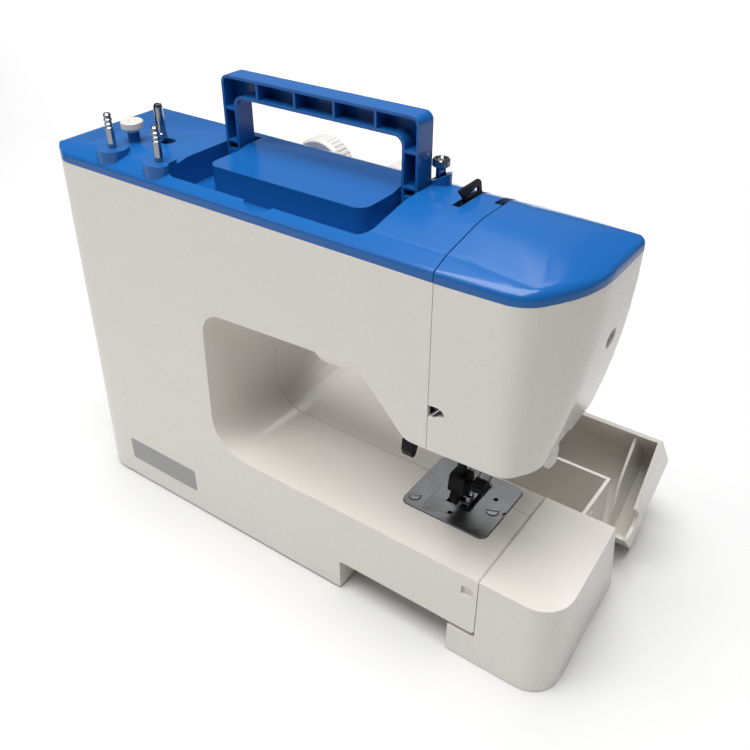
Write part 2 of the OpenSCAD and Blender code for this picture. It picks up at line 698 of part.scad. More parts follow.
module belt_pulley(x, yz, r, r_in) {
    difference() {
        union() {
            rod_x(x[0], x[1], yz, r);
            for (e = [x[0] - 1.6, x[1]]) rod_x(e, e + 1.6, yz, r + 2.5);
            rod_x(x[1], x[1] + 6, yz, r_in + 4);
        }
        rod_x(x[0] - 5, x[1] + 10, yz, r_in);
    }
}
module upper_pulley() { color(cast) at_origin() belt_pulley(belt_x, [needle_y, shaft_z], 15, shaft_r); }
module lower_pulley() { color(cast) at_origin() belt_pulley(belt_x, [lower_y, hook_z], 15, 4); }
module drive_pulley() { color(dark) at_origin() belt_pulley(motor_belt_x, [needle_y, shaft_z], 27, shaft_r); }
module motor_pulley() {
    color(cast) at_origin() union() {
        belt_pulley(motor_belt_x, motor_yz, 6, motor_shaft_r - 0.5);
        rod_x(186, motor_belt_x[1] + 6, motor_yz, motor_shaft_r);
    }
}
module drive_belts() {
    color(dark) at_origin() {
        belt([belt_x[0] + 0.5, belt_x[1] - 0.5], [needle_y, shaft_z], 15.3, [lower_y, hook_z], 15.3, 1.6);
        belt([motor_belt_x[0] + 0.5, motor_belt_x[1] - 0.5], [needle_y, shaft_z], 27.3, motor_yz, 6.3, 1.8);
    }
}
module motor() {
    color(dark) at_origin() {
        difference() {
            union() {
                rod_x(118, 190, motor_yz, 24);
                rod_x(189, 196, motor_yz, 9);
                // saddle on the base plate
                for (x = [126, 174]) box([x, motor_yz.x - 20, base_z + 2.5], [x + 8, motor_yz.x + 20, 40]);
            }
            for (k = [0:7]) translate([124, motor_yz.x, motor_yz.y]) rotate([k * 45, 0, 0])
                box([0, 21, -2.5], [6, 26, 2.5]);
            rod_x(185, 200, motor_yz, motor_shaft_r + run);
        }
    }
}

// ---- lower drive and hook ------------------------------------------------------------------
module lower_shaft() {
    color(steel) at_origin() union() {
        rod_x(-52, belt_x[1] + 6, [lower_y, hook_z], 4);
        on_shaft_x(0, [lower_y, hook_z]) rotate_extrude() polygon([
            [0, needle_x + 4.6], [8.7, needle_x + 4.6], [13.7, needle_x + 7.1], [13.7, needle_x + 8.5],
            [8, needle_x + 10], [8, needle_x + 14], [0, needle_x + 14]
        ]);
    }
}
module shuttle_hook() {
    color(steel) at_origin() translate([needle_x, lower_y, hook_z]) rotate([90, 0, 0]) difference() {
        union() {
            rotate_extrude() polygon([
                [0, 9.2], [4.3, 9.2], [6.7, 14], [6.7, 15.5], [5, 16], [5, 18.5], [3.5, 18.5], [3.5, 33.5],
                [14.6, 33.5], [15, 34.1], [15, 49], [13.4, 49], [13.4, 36], [2.8, 36], [2.8, 49], [0, 49.4]
            ]);
        }
        // mouth in the rim that leaves the hook's point
        box([0, 4, 36.5], [20, 20, 43]);
    }
}
module bobbin_case() {
    color([0.62, 0.63, 0.64]) at_origin() translate([needle_x, lower_y, hook_z])
        rotate([90, 0, 0]) difference() {
        rotate_extrude() polygon([
            [11.8, 37], [12.9, 37], [12.9, 51], [11, 52.5], [3.3, 52.5], [3.3, 51.2], [11.8, 51.2]
        ]);
        box([-2, 9, 35], [2, 16, 41]);
        box([-9, -2.5, 51.8], [-5, 2.5, 55]);
    }
}
module bobbin() {
    color([0.8, 0.85, 0.9]) at_origin() translate([needle_x, lower_y, hook_z]) rotate([90, 0, 0]) difference() {
        rotate_extrude() polygon([
            [3, 38], [11, 38], [11, 39.2], [5, 39.2], [5, 48.8], [11, 48.8], [11, 50], [3, 50]
        ]);
        for (k = [0:5]) rotate([0, 0, 60 * k]) translate([8, 0, 35]) cylinder(h = 20, r = 1.2);
    }
}
module hook_cover() {
    color(white) at_origin() union() {
        along_y(free_front_y, free_front_y + 2.5) round_rect([-85.7, 33.3], [-38.3, 68.7], 3);
        box([-84, free_front_y + 2.5, 40], [-81, free_front_y + 6, 60]);
    }
}
module feed_dog() {
    color(steel) at_origin() union() {
        difference() {
            box([-71.5, -72, 67], [-52.5, -52, 69.5]);
            box([needle_x - 4, needle_y - 3, 60], [needle_x + 4, needle_y + 3, 75]);
        }
        for (s = feed_slots, k = [0:8]) translate([s[0] + 0.5, -73.5 + 2.4 * k, 69]) rotate([90, 0, 90])
            linear_extrude(s[1] - s[0] - 1) polygon([[0, 0], [2.4, 0], [2.4, 4.6], [0, 5.6]]);
    }
}

// ---- needle and presser --------------------------------------------------------------------
module needle_bar_frame() {
    color(cast) at_origin() difference() {
        union() {
            box([-74, -68, 160], [-68.5, -56.5, 257]);
            for (z = [160, 230]) box([-69, -68, z], [-57, -56.5, z + 8]);
        }
        rod_z(150, 240, [needle_x, needle_y], 3.2 + run);
        rod_y(-75, -50, swing_xz, 1.8 + run);
    }
}
clamp_z = 116.5;                  // underside of the needle clamp
module needle_bar() {
    color(steel) at_origin() rod_z(clamp_z + 3, 272, [needle_x, needle_y], 3.2);
}
module needle_link() {
    color(cast) at_origin() difference() {
        union() {
            box([-68, -68, 210], [-55, -56.5, 222]);
            rod_x(-55, -49.5, [needle_y, 216], 3);
            hull() {
                rod_x(-52, -49.5, [needle_y, 216], 5);
                rod_x(-52, -49.5, [needle_y, shaft_z + crank_r], 5);
            }
        }
        rod_z(200, 230, [needle_x, needle_y], 3.2);
        rod_x(-60, -45, [needle_y, shaft_z + crank_r], 3.1);
    }
}
module needle_clamp() {
    color(steel) at_origin() difference() {
        union() {
            rod_z(clamp_z, clamp_z + 10, [needle_x, needle_y], 4.2);
            rod_x(-79, needle_x - 3, [needle_y, clamp_z + 5], 1.8);
            rod_x(-79, -73, [needle_y, clamp_z + 5], 3.8);
        }
        rod_z(clamp_z + 3, clamp_z + 15, [needle_x, needle_y], 3.2);
        rod_z(clamp_z - 2, clamp_z + 15, [needle_x, needle_y], 1);
    }
}
module needle() {
    color(steel) at_origin() translate([needle_x, needle_y, 0]) difference() {
        rotate_extrude() polygon([[0, 88], [0.45, 90], [0.45, 108], [1, 110], [1, clamp_z + 3],
            [0, clamp_z + 3]]);
        rod_y(-2, 2, [0, 92], 0.22);
    }
}
lifter_x = -42;                   // right side of the lifter
lift_throw = 13.7;                // offset of the lifter's cam from its pivot
module presser_bar() {
    color(dark) at_origin() union() {
        rod_z(98, 241, [needle_x, presser_y], 3);
        rod_z(190, 194, [needle_x, presser_y], 5);
        // lug that the lifter's cam pushes up
        box([-58, presser_y, 177], [-52, lifter_yz.x + lift_throw + 3, 182.5]);
        box([-66, presser_y - 3.5, 177], [-57, presser_y + 4, 182.5]);
    }
}
module presser_spring() {
    color(steel) at_origin() for (k = [0:7]) translate([needle_x, presser_y, 195.2 + 4.9 * k])
        rotate_extrude() translate([4.4, 0]) circle(0.7, $fn = 16);
}
foot_pin_yz = [-55, 82.2];
module foot_holder() {
    color(dark) at_origin() difference() {
        union() {
            along_x(-67.5, -56.5) polygon(rounded([[-44, 104, 2], [-56, 104, 2], [-57.2, 96, 2],
                [-57.2, 90, 2], [-42, 90, 3]]));
            // tongue between the foot's ears
            along_x(-65.2, -58.8) polygon(rounded([[-57.2, 92, 0], [-57.2, 82, 2], [-55, 79.8, 1.5],
                [-52.8, 82, 2], [-51.5, 92, 0]]));
            // release lever behind
            along_x(-64.5, -59.5) polygon(rounded([[-42, 93, 1], [-48, 90.5, 1], [-46, 84, 1], [-42, 82.5, 1],
                [-40, 89, 2]]));
        }
        rod_z(98, 110, [needle_x, presser_y], 3);
        rod_x(-70, -54, foot_pin_yz, 1.1 + run);
    }
}
module foot_screw() {
    color(dark) at_origin() difference() {
        union() {
            rod_x(-72, -67.5, [presser_y, 99], 2);
            rod_x(-80, -72, [presser_y, 99], 5);
        }
        for (k = [0:11]) on_shaft_x(-81, [presser_y, 99]) rotate([0, 0, 30 * k]) translate([5.3, 0, 0])
            cylinder(h = 10, r = 0.8);
        box([-81, presser_y - 6, 98.4], [-79, presser_y + 6, 99.6]);
    }
}
foot_z = plate_top_z + 1.2;       // the sole rests a cloth's thickness above the plate
module presser_foot() {
    color(steel) at_origin() difference() {
        union() {
            along_x(-69, -55) polygon(rounded([[-50, foot_z, 1], [-50, foot_z + 2.2, 0.5],
                [-74, foot_z + 2.2, 8], [-83, foot_z + 7, 1], [-84, foot_z + 5, 0.5], [-75, foot_z, 8]]));
            for (x = [-68.5, -58.2]) along_x(x, x + 2.7) polygon(rounded([[-50.5, foot_z + 1, 0],
                [-52.3, foot_z + 7, 2], [-57.3, foot_z + 7, 2], [-57.6, foot_z + 1, 0]]));
            rod_x(-68, -56, foot_pin_yz, 1.1);
        }
        // needle slot and the gap between the toes
        along_z(70, 90) round_rect([-66.5, needle_y - 2], [-57.5, needle_y + 2], 1.8);
        box([-63.2, -90, 70], [-60.8, -66, 90]);
        // groove under the sole
        rod_y(-90, -40, [needle_x, foot_z - 1.2], 2);
    }
}
module presser_lifter() {
    color(dark) at_origin() difference() {
        union() {
            rod_x(-57, lifter_x, lifter_yz, 4.5);
            rod_x(-57, -52, lifter_yz + [lift_throw, 0], 4.5);
            box([-57, lifter_yz.x, lifter_yz.y - 3], [-52, lifter_yz.x + lift_throw, lifter_yz.y + 3]);
            along_x(-49, lifter_x) polygon(rounded([[-34, 170, 2], [-27, 174, 3], [-18, 156, 4],
                [-10.5, 148, 3], [-9.5, 141, 2], [-11, 136, 1.3], [-14.5, 136, 1.3], [-18, 144, 3],
                [-26, 156, 5]]));
        }
        rod_x(-60, -35, lifter_yz, 2 + run);
    }
}

// ---- controls ------------------------------------------------------------------------------
module ribbed_dial(x, r, depth, teeth) {
    front = arm_front_y - 1 - depth;
    difference() {
        union() {
            translate([x, arm_front_y - 1, dial_z]) rotate([90, 0, 0]) rotate_extrude()
                polygon(rounded([[0, 0, 0], [r - 1.5, 0, 1], [r, 3, 1], [r, depth - 1, 1.5],
                    [r - 3, depth, 0.8], [r - 4, depth - 2, 0.5], [0, depth - 2, 0]], 3));
            rod_y(arm_front_y - 1, arm_front_y + 14, [x, dial_z], 4);
        }
        for (k = [0:teeth - 1]) translate([x, 0, dial_z]) rotate([0, 360 * k / teeth, 0])
            rod_y(front - 1, arm_front_y - 4, [r + 0.5, 0], 0.9);
        box([x - 0.6, front - 1, dial_z + r - 11], [x + 0.6, front + 2.8, dial_z + r - 5]);
    }
}
module pattern_dial() { color(white) at_origin() ribbed_dial(88, 21.5, 14, 40); }
module length_dial() { color(white) at_origin() ribbed_dial(25, 17.5, 12, 36); }
module tension_dial() {
    color(white) at_origin() on_shaft_x(-18, [-92, 236]) difference() {
        union() {
            cylinder(h = 8, r = 16);
            translate([0, 0, -4]) cylinder(h = 18, r = 3);
        }
        for (k = [0:29]) rotate([0, 0, 12 * k]) translate([16.4, 0, -1]) cylinder(h = 10, r = 0.9);
    }
}
module reverse_lever() {
    color(white) at_origin() union() {
        along_x(18, 32) polygon(rounded([[-86, 216, 2], [-86, 210, 2], [-101, 210, 1], [-113, 207, 2],
            [-118, 209, 2], [-116, 213, 2], [-103, 217.5, 2]]));
        rod_x(14, 36, [-88, 213], 3);
    }
}
module power_inlet() {
    color(dark) at_origin() difference() {
        union() {
            box([226, -112.5, 38.5], [243.5, -81.5, 61.5]);
            box([222.5, -104, 45], [226, -86, 57]);
        }
        along_x(228.5, 250) round_rect([-109, 42.5], [-85, 57.5], 4);
    }
}
module power_switch() {
    color(dark) at_origin() difference() {
        along_y(-105.5, -88.5) polygon(rounded([[228, 74, 1], [238, 73, 1], [243.8, 80, 3], [242.2, 86.6, 1],
            [228, 86, 1]]));
        rod_y(-110, -84, [234, 80], 1.5 + run);
    }
}
module lamp() {
    color([0.95, 0.95, 0.85]) at_origin() translate([lamp_xy.x, lamp_xy.y, 0]) rotate_extrude() polygon([
        [0, 157.2], [4, 157.6], [5, 158.6], [5, head_z + wall], [6.5, head_z + wall], [6.5, 166], [0, 166]
    ]);
}
module threader_lever() {
    color(white) at_origin() union() {
        along_x(-120, -117) polygon(rounded([[-44, 200, 0], [-44, 150, 2], [-46, 138, 3], [-57, 136, 3],
            [-58, 146, 3], [-52, 160, 6], [-52, 200, 0]]));
        box([-117, -50, 190], [-76, -46, 196]);
        box([-79, -54, 133], [-76, -46, 196]);
    }
}

// ---- extension table -----------------------------------------------------------------------
table_z = 0.6;
gap = 0.5;
module table_side(i = 0) {
    polygon([[-i, table_z - (i > 0 ? 1 : 0)], [-i, bed_z - i], [free_front_y - gap + i, bed_z - i],
        [free_front_y - gap - 24 + i, table_z - (i > 0 ? 1 : 0)]]);
}
module end_plan(i = 0) {
    polygon(rounded([[table_x + 4.5 + i, -120, 0], [free_arm_x - gap - i, -120, 0],
        [free_arm_x - gap - i, -i, 0], [table_x + i, -i, 20 - i], [table_x + i, -25, 0]]));
}
module extension_table() {
    box_x = [-132, base_block_x - gap - 3];
    box_y = [-136, free_front_y - gap];
    color(white) at_origin() difference() {
        union() {
            // end block
            difference() {
                intersection() {
                    along_x(table_x, free_arm_x - gap) table_side();
                    along_z(-1, 80) end_plan();
                }
                intersection() {
                    along_x(table_x + 2.5, free_arm_x - gap - 2.5) table_side(2.5);
                    along_z(-1, 80) end_plan(2.5);
                }
            }
            // lip under the free arm
            box([free_arm_x - 3, -30, table_z], [-86, 0, 24]);
            // floor and accessory compartment
            box([box_x[0], -146, table_z], [box_x[1], free_front_y - gap, table_z + 2.5]);
            box([-152, -104, table_z], [box_x[0] + 1, free_front_y - gap, table_z + 2.5]);
            box([box_x[0], box_y[0], table_z], [box_x[1], box_y[1], bed_z - 3]);
            // catch bump for the cover
            translate([box_x[0] + 0.9, -104, 64]) sphere(2.2);
            // hinge knuckles
            for (x = [-128, -38]) box([x, hinge_y - 3, table_z], [x + 10, -145, table_z + 2.5]);
            for (x = [-128, -38]) rod_x(x, x + 10, [hinge_y, hinge_z], 3);
        }
        box([box_x[0] + 2.5, box_y[0] + 2.5, 8], [box_x[1] - 2.5, box_y[1] - 2.5, bed_z + 1]);
        rod_x(-130, -20, [hinge_y, hinge_z], 1.5);
        box([free_arm_x, -27.5, table_z - 1], [-88.5, -2.5, 21.5]);
    }
}
lip_y = -139;                     // edge of the cover's bottom lip
module cover_side(i = 0) {
    polygon(rounded([[base_front_y + i, 4 + i, 7 - i], [base_front_y + i, bed_z - i, cover_r - i],
        [free_front_y - 1 + (i > 0 ? 3 : 0), bed_z - i, 0],
        each (i > 0 ? [[free_front_y - 22, 1, 0], [lip_y, 1, 0], [lip_y, 4 + i, 0]] :
            [[free_front_y - 25, 4, 0]])]));
}
module accessory_cover() {
    x = [-153, base_block_x - gap];
    color(white) at_origin() translate([0, hinge_y, hinge_z]) rotate([open_deg, 0, 0])
        translate([0, -hinge_y, -hinge_z]) difference() {
        union() {
            difference() {
                intersection() {
                    along_x(x[0], x[1]) cover_side();
                    along_z(-5, 90) polygon(rounded([[x[0], base_front_y, 10], [x[1], base_front_y, 0],
                        [x[1], -80, 0], [x[0], -80, 0]]));
                }
                intersection() {
                    along_x(x[0] + 2.5, x[1] - 2.5) cover_side(2.5);
                    along_z(-5, 90) polygon(rounded([[x[0] + 2.5, base_front_y + 2.5, 7.5],
                        [x[1] - 2.5, base_front_y + 2.5, 0], [x[1] - 2.5, -70, 0], [x[0] + 2.5, -70, 0]]));
                }
            }
            // floor of the end pocket
            box([x[0] + 1, base_front_y + 7, 4], [-133.5, -114.5, 6.5]);
            // inner partition
            along_x(-135.5, -133.5) polygon([[base_front_y + 1, 8], [base_front_y + 1, bed_z - 10],
                [base_front_y + 12, bed_z - 1], [-96, bed_z - 1], [-108, 40], [-134, 12]]);
            // hinge barrels with their pins
            for (k = [-117.7, -48.3]) {
                rod_x(k, k + 10, [hinge_y, hinge_z], 3);
                box([k, base_front_y + 1, 3], [k + 10, hinge_y, 7]);
            }
            for (k = [-127, -48.3]) rod_x(k, k + 19.3, [hinge_y, hinge_z], 1.5 - run);
        }
        for (k = [-128.4, -38.3]) box([k, base_front_y - 2, 0], [k + 10.7, hinge_y + 5, 9.5]);
        // finger recess in the end wall's edge
        along_x(x[0] - 1, x[0] + 2.6) polygon(rounded([[-90, 26.5, 0], [-122.5, 26.5, 6], [-126, 16, 7],
            [-121, 6.5, 4], [-90, 6.5, 0]]));
    }
}

rear_cover();
front_cover();
face_cover();
top_cover();
face_top_cover();
base_plate();
rubber_feet();
cover_screws();
rating_label();
needle_plate();
plate_screws();
thread_cutter();
carry_handle();
spool_pin_left();
spool_pin_right();
winder_stop();
winder_arm();
winder_spindle();
thread_guide();
take_up_lever();
pivot_pins();
arm_frame();
bed_frame();
shaft_bushes();
main_shaft();
crank_disc();
hand_wheel();
upper_pulley();
drive_pulley();
drive_belts();
lower_pulley();
lower_shaft();
shuttle_hook();
bobbin_case();
bobbin();
hook_cover();
motor();
motor_pulley();
needle_bar_frame();
needle_bar();
needle_link();
needle_clamp();
needle();
presser_bar();
presser_spring();
foot_holder();
foot_screw();
presser_foot();
presser_lifter();
feed_dog();
pattern_dial();
length_dial();
tension_dial();
reverse_lever();
power_inlet();
power_switch();
lamp();
threader_lever();
extension_table();
accessory_cover();
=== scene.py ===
"""Looks for the sewing machine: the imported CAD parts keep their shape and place, and get
smooth shading, finished materials, small details, a floor, lights and a camera."""
import json
import math

import bmesh
import bpy
from mathutils import Matrix, Vector


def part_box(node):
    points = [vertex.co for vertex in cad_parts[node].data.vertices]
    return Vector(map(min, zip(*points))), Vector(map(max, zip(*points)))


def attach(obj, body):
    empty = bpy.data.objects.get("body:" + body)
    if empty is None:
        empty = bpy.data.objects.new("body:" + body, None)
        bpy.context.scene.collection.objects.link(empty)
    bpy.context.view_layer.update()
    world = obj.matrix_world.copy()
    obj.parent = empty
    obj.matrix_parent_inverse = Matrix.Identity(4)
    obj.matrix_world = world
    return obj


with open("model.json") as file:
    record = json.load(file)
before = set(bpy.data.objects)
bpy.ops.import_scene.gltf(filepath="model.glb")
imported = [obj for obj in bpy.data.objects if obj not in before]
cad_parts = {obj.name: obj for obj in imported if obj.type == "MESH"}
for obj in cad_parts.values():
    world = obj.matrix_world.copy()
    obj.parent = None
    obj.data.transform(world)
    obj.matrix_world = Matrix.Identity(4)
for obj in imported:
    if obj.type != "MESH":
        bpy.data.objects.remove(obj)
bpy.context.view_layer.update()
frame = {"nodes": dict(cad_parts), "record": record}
nodes = frame["nodes"]
MM = 0.001


# ---- shader helpers -------------------------------------------------------------------------
NOISE_REACH = (0.1, 0.9)        # the part of 0 to 1 that a noise really fills
WEAR_FACING = (1.0, 0.75)       # cosines between face and softened normal: unworn, fully worn
BEVEL_SAMPLES = 4


class Shader:
    """A material under construction: short calls for the nodes that the finishes share."""

    def __init__(self, name, **values):
        self.material = bpy.data.materials.new(name)
        self.material.use_nodes = True
        self.tree = self.material.node_tree
        self.surface = self.tree.nodes["Principled BSDF"]
        self.position = self.add("ShaderNodeTexCoord").outputs["Object"]
        for socket, value in values.items():
            self.surface.inputs[socket.replace("_", " ")].default_value = value

    def add(self, kind, **settings):
        node = self.tree.nodes.new(kind)
        for key, value in settings.items():
            setattr(node, key, value)
        return node

    def link(self, source, target):
        self.tree.links.new(source, target)

    def noise(self, size_mm, detail=3.0, stretch=(1, 1, 1)):
        """Noise whose lumps are about size_mm across, drawn out along an axis by stretch."""
        mapping = self.add("ShaderNodeMapping")
        mapping.inputs["Scale"].default_value = stretch
        self.link(self.position, mapping.inputs["Vector"])
        noise = self.add("ShaderNodeTexNoise")
        noise.inputs["Scale"].default_value = 1 / (size_mm * MM)
        noise.inputs["Detail"].default_value = detail
        self.link(mapping.outputs["Vector"], noise.inputs["Vector"])
        return noise.outputs["Fac"]

    def spread(self, fac, low, high):
        """Maps a noise, which stays near 0.5, smoothly onto the range low to high."""
        node = self.add("ShaderNodeMapRange", interpolation_type="SMOOTHERSTEP")
        node.inputs["From Min"].default_value, node.inputs["From Max"].default_value = NOISE_REACH
        node.inputs["To Min"].default_value = low
        node.inputs["To Max"].default_value = high
        self.link(fac, node.inputs["Value"])
        return node.outputs["Result"]

    def blend(self, fac, first, second):
        """Mixes two colours or colour sockets."""
        node = self.add("ShaderNodeMix", data_type="RGBA")
        for key, value in (("A", first), ("B", second)):
            socket = [s for s in node.inputs if s.name == key and s.type == "RGBA"][0]
            if isinstance(value, (tuple, list)):
                socket.default_value = (*value, 1)
            else:
                self.link(value, socket)
        self.link(fac, node.inputs[0])
        return [s for s in node.outputs if s.type == "RGBA"][0]

    def colour(self, value):
        self.link(value, self.surface.inputs["Base Color"])

    def roughness(self, fac, low, high):
        self.link(self.spread(fac, low, high), self.surface.inputs["Roughness"])

    def softened_normal(self, radius_mm):
        """The surface normal, rounded within radius_mm of each edge."""
        bevel = self.add("ShaderNodeBevel", samples=BEVEL_SAMPLES)
        bevel.inputs["Radius"].default_value = radius_mm * MM
        return bevel.outputs["Normal"]

    def bump(self, height, depth_mm, edge_mm=0.0):
        """Surface relief, over edges that are softened by edge_mm."""
        bump = self.add("ShaderNodeBump")
        bump.inputs["Strength"].default_value = 1.0
        bump.inputs["Distance"].default_value = depth_mm * MM
        self.link(height, bump.inputs["Height"])
        if edge_mm:
            self.link(self.softened_normal(edge_mm), bump.inputs["Normal"])
        self.link(bump.outputs["Normal"], self.surface.inputs["Normal"])

    def edge_wear(self, radius_mm):
        """1 on sharp edges, 0 on faces."""
        geometry = self.add("ShaderNodeNewGeometry")
        dot = self.add("ShaderNodeVectorMath", operation="DOT_PRODUCT")
        self.link(geometry.outputs["Normal"], dot.inputs[0])
        self.link(self.softened_normal(radius_mm), dot.inputs[1])
        wear = self.add("ShaderNodeMapRange")
        wear.inputs["From Min"].default_value, wear.inputs["From Max"].default_value = WEAR_FACING
        self.link(dot.outputs["Value"], wear.inputs["Value"])
        return wear.outputs["Result"]


def shade(colour, factor):
    return tuple(c * factor for c in colour)


# ---- kinds of material ------------------------------------------------------------------------
def moulded_plastic(name, colour, rough=(0.27, 0.29), grain_mm=0.0, edge_mm=0.5, coat=0.3,
                    specular=0.4):
    """Moulded plastic: faint colour drift and specks, paler worn edges, and a skin that is
    either glossy with a trace of waviness or grained."""
    m = Shader(name, Coat_Weight=coat, Coat_Roughness=0.08, Specular_IOR_Level=specular)
    drift = m.blend(m.spread(m.noise(90, 0), 0, 1), shade(colour, 0.995), shade(colour, 1.005))
    specks = m.blend(m.spread(m.noise(0.8, 2), 0, 0.5), drift, shade(colour, 0.985))
    worn = tuple(min(1, c * 1.08 + 0.01) for c in colour)
    m.colour(m.blend(m.edge_wear(0.6), specks, worn))
    m.roughness(m.noise(1.5, 2), *rough)
    if grain_mm:
        m.bump(m.noise(grain_mm, 4), 0.05, edge_mm)
    else:
        m.bump(m.noise(2.5, 1), 0.0003, edge_mm)
    return m.material


def turned_metal(name, colour, rough=(0.16, 0.3), edge_mm=0.2, stretch=(1, 1, 1)):
    """Polished or turned metal with stains, brighter edges and fine lines drawn out by stretch."""
    m = Shader(name, Metallic=1.0)
    stain = m.blend(m.spread(m.noise(8, 5), 0, 1), shade(colour, 0.86), colour)
    m.colour(m.blend(m.edge_wear(0.3), stain, tuple(min(1, c * 1.15) for c in colour)))
    m.roughness(m.noise(1.2, 5, stretch), *rough)
    m.bump(m.noise(0.35, 3, stretch), 0.01, edge_mm)
    return m.material


def cast_metal(name, colour):
    """Rough cast metal with blotches and pits."""
    m = Shader(name, Metallic=0.9)
    m.colour(m.blend(m.spread(m.noise(5, 6), 0, 1), shade(colour, 0.75), shade(colour, 1.1)))
    m.roughness(m.noise(1.5, 5), 0.42, 0.62)
    m.bump(m.noise(0.8, 5), 0.12, 0.5)
    return m.material


def rubber(name, colour):
    """Dull rubber with a fine grain and lighter patches."""
    m = Shader(name, Specular_IOR_Level=0.3)
    m.colour(m.blend(m.spread(m.noise(4, 5), 0, 1), shade(colour, 0.8), shade(colour, 1.6)))
    m.roughness(m.noise(2, 4), 0.6, 0.8)
    m.bump(m.noise(0.5, 3), 0.08, 0.4)
    return m.material


def clear_plastic(name, colour, transmission, rough):
    """See-through plastic, slightly clouded."""
    m = Shader(name, IOR=1.46, Transmission_Weight=transmission)
    m.colour(m.blend(m.spread(m.noise(3, 3), 0, 1), shade(colour, 0.92), colour))
    m.roughness(m.noise(3, 3), *rough)
    m.bump(m.noise(1.0, 2), 0.02, 0.2)
    return m.material


def printed_label(name, colour):
    """A sticker's face: paper grain under a thin film."""
    m = Shader(name, Coat_Weight=0.2, Coat_Roughness=0.3)
    m.colour(m.blend(m.spread(m.noise(0.4, 4), 0, 1), shade(colour, 0.94), shade(colour, 1.03)))
    m.roughness(m.noise(6, 4), 0.4, 0.55)
    m.bump(m.noise(0.3, 3), 0.015)
    return m.material


# ---- finishes, by the record's material slots ---------------------------------------------------
WHITE = (0.735, 0.705, 0.655)
BLUE = (0.008, 0.108, 0.365)
BLACK = (0.010, 0.010, 0.012)
BRUSHED_ALONG_X = (0.08, 1, 1)
finish = {
    "white_casing": moulded_plastic("white_casing", WHITE),
    "white_parts": moulded_plastic("white_parts", shade(WHITE, 0.9), (0.24, 0.28)),
    "blue_casing": moulded_plastic("blue_casing", BLUE, (0.24, 0.26), specular=0.25),
    "black_plastic": moulded_plastic("black_plastic", BLACK, (0.4, 0.5), grain_mm=0.5,
                                     edge_mm=0.3, coat=0.0, specular=0.12),
    "label": printed_label("label", (0.32, 0.32, 0.315)),
    "plate_steel": turned_metal("plate_steel", (0.24, 0.245, 0.25), (0.3, 0.42),
                                stretch=BRUSHED_ALONG_X),
    "bright_steel": turned_metal("bright_steel", (0.38, 0.39, 0.41), (0.06, 0.16)),
    "shaft_steel": turned_metal("shaft_steel", (0.5, 0.51, 0.53), (0.22, 0.36)),
    "cast_frame": cast_metal("cast_frame", (0.45, 0.46, 0.48)),
    "base_steel": cast_metal("base_steel", (0.28, 0.29, 0.30)),
    "bush_bronze": turned_metal("bush_bronze", (0.56, 0.38, 0.16), (0.3, 0.45)),
    "belt_rubber": rubber("belt_rubber", (0.02, 0.02, 0.02)),
    "foot_rubber": rubber("foot_rubber", (0.03, 0.03, 0.03)),
    "clear_bobbin": clear_plastic("clear_bobbin", (0.80, 0.86, 0.92), 0.85, (0.08, 0.16)),
    "lamp_glass": clear_plastic("lamp_glass", (0.95, 0.93, 0.86), 0.35, (0.3, 0.45)),
}


# ---- CAD parts: smooth shading, softened edges, finishes --------------------------------------
SMOOTH_BELOW_DEG = 32
BEVEL_ABOVE_DEG = 40
WELD_MM = 0.002
BEVEL_MM = {"needle_plate": 0.3}        # a stamped plate; the other parts are rounded in the design


def smooth_group(angle_deg):
    """Geometry nodes that shade faces smooth and keep edges steeper than the angle sharp."""
    group = bpy.data.node_groups.new("smooth_by_angle", "GeometryNodeTree")
    group.interface.new_socket("Geometry", in_out="INPUT", socket_type="NodeSocketGeometry")
    group.interface.new_socket("Geometry", in_out="OUTPUT", socket_type="NodeSocketGeometry")
    add = group.nodes.new
    start, end = add("NodeGroupInput"), add("NodeGroupOutput")
    faces, edges = add("GeometryNodeSetShadeSmooth"), add("GeometryNodeSetShadeSmooth")
    edges.domain = "EDGE"
    edges.inputs["Shade Smooth"].default_value = False
    angle = add("GeometryNodeInputMeshEdgeAngle")
    steep = add("FunctionNodeCompare")
    steep.operation = "GREATER_THAN"
    steep.inputs[1].default_value = math.radians(angle_deg)
    link = group.links.new
    link(start.outputs[0], faces.inputs["Geometry"])
    link(faces.outputs[0], edges.inputs["Geometry"])
    link(angle.outputs["Unsigned Angle"], steep.inputs[0])
    link(steep.outputs[0], edges.inputs["Selection"])
    link(edges.outputs[0], end.inputs[0])
    return group


def soften(piece, smooth, bevel_mm):
    """Joins a mesh's split vertices, rounds its sharp edges by bevel_mm and shades it smooth."""
    weld = piece.modifiers.new("weld", "WELD")
    weld.merge_threshold = WELD_MM * MM
    if bevel_mm:
        bevel = piece.modifiers.new("bevel", "BEVEL")
        bevel.width = bevel_mm * MM
        bevel.segments = 2
        bevel.limit_method = "ANGLE"
        bevel.angle_limit = math.radians(BEVEL_ABOVE_DEG)
        bevel.use_clamp_overlap = True
    shading = piece.modifiers.new("smooth", "NODES")
    shading.node_group = smooth
    weighted = piece.modifiers.new("weighted", "WEIGHTED_NORMAL")
    weighted.keep_sharp = True


def finish_cad_parts():
    smooth = smooth_group(SMOOTH_BELOW_DEG)
    for part in frame["record"]["subparts"]:
        node = nodes[part["node"]]
        for material_slot in node.material_slots:
            material_slot.material = finish[part["material_slot"]]
        soften(node, smooth, BEVEL_MM.get(part["node"], 0.0))


# ---- small details ------------------------------------------------------------------------------
LINE_SIZE = (0.3, 0.03)                 # a guide line's width and thickness, half sunk in the plate
LINE_PITCH = 1.8
FIRST_LINE_INSET = 14.8                 # from the plate's edge on the pillar's side
# where each line starts and ends along y in the machine's frame, the one nearest that edge first
LINE_ENDS = ((43.8, 63.8), (53.8, 67.8), (53.8, 69.8), (52.8, 68.8), (52.8, 67.8), (51.8, 66.8))


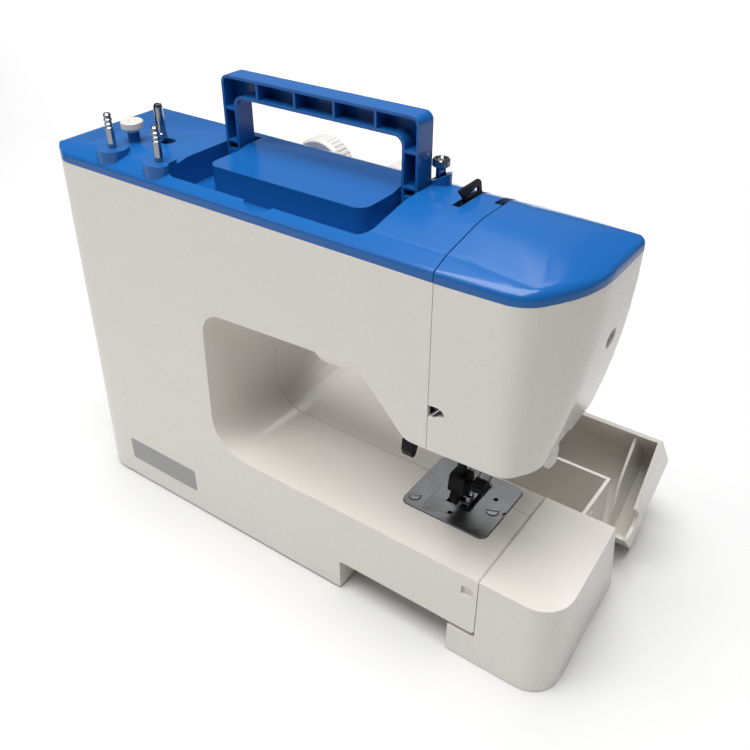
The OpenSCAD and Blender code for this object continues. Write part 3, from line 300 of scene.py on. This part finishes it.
def plate_lines():
    """The seam guide lines cut beside the foot, as thin dark strips on the needle plate."""
    plate_edge_x, _, plate_top = (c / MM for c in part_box("needle_plate")[1])
    width, thickness = LINE_SIZE
    mesh = bpy.data.meshes.new("plate_lines")
    strips = bmesh.new()
    for k, (start, end) in enumerate(LINE_ENDS):
        x = plate_edge_x - FIRST_LINE_INSET - LINE_PITCH * k
        place = Matrix.Translation(Vector((x, (start + end) / 2, plate_top)) * MM)
        size = Matrix.Diagonal((width * MM, (end - start) * MM, thickness * MM, 1))
        bmesh.ops.create_cube(strips, size=1, matrix=place @ size)
    strips.to_mesh(mesh)
    strips.free()
    piece = bpy.data.objects.new("plate_lines", mesh)
    bpy.context.scene.collection.objects.link(piece)
    mesh.materials.append(turned_metal("line_grey", (0.07, 0.07, 0.074), (0.35, 0.5)))
    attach(piece, "machine_body")


# ---- floor, lights, camera, in metres -----------------------------------------------------------
FLOOR_SIZE = 6
WORLD_LIGHT = 0.1
CAMERA_PLACE = (-0.3031, 0.4158, 0.4630)        # behind the machine, above its needle end
CAMERA_TARGET = (-0.0177, 0.0142, 0.1206)
LENS_MM = 40.75
SENSOR_MM = 36


def floor():
    """A plain pale floor, slightly clouded."""
    mesh = bpy.data.meshes.new("floor")
    grid = bmesh.new()
    bmesh.ops.create_grid(grid, x_segments=8, y_segments=8, size=FLOOR_SIZE)
    grid.to_mesh(mesh)
    grid.free()
    piece = bpy.data.objects.new("floor", mesh)
    bpy.context.scene.collection.objects.link(piece)
    m = Shader("floor_white", Specular_IOR_Level=0.2)
    m.colour(m.blend(m.spread(m.noise(300), 0, 1), (0.74, 0.74, 0.74), (0.76, 0.76, 0.757)))
    m.roughness(m.noise(60), 0.55, 0.65)
    mesh.materials.append(m.material)


def soft_light(name, place, target, size, power, spread_deg=180):
    """A rectangular lamp that faces its target."""
    lamp = bpy.data.lights.new(name, "AREA")
    lamp.shape = "RECTANGLE"
    lamp.size, lamp.size_y = size
    lamp.energy = power
    lamp.spread = math.radians(spread_deg)
    light = bpy.data.objects.new(name, lamp)
    light.location = place
    light.rotation_euler = (Vector(target) - Vector(place)).to_track_quat("-Z", "Y").to_euler()
    bpy.context.scene.collection.objects.link(light)


def lighting():
    """A broad ceiling light, weak fills from behind and in front, and a lamp for the floor beyond."""
    soft_light("ceiling", (0.0, 0.35, 1.8), (0, 0.05, 0), (1.4, 1.4), 46)
    soft_light("key", (1.0, 1.5, 1.3), (0, 0, 0.1), (1.2, 1.0), 4)
    soft_light("far_floor", (1.5, -2.2, 2.2), (1.5, -2.2, 0), (3.2, 2.4), 60, spread_deg=95)
    soft_light("front_box", (1.15, -1.55, 1.35), (0, 0, 0.15), (2.4, 1.3), 1.5)
    world = bpy.data.worlds.new("studio")
    bpy.context.scene.world = world
    world.use_nodes = True
    background = world.node_tree.nodes["Background"]
    background.inputs["Color"].default_value = (1, 1, 1, 1)
    background.inputs["Strength"].default_value = WORLD_LIGHT
    bpy.context.scene.view_settings.view_transform = "Standard"


def camera():
    data = bpy.data.cameras.new("camera")
    data.sensor_width = SENSOR_MM
    data.lens = LENS_MM
    eye = bpy.data.objects.new("camera", data)
    eye.location = CAMERA_PLACE
    eye.rotation_euler = (Vector(CAMERA_TARGET) - eye.location).to_track_quat("-Z", "Y").to_euler()
    bpy.context.scene.collection.objects.link(eye)
    bpy.context.scene.camera = eye


finish_cad_parts()
plate_lines()
floor()
lighting()
camera()
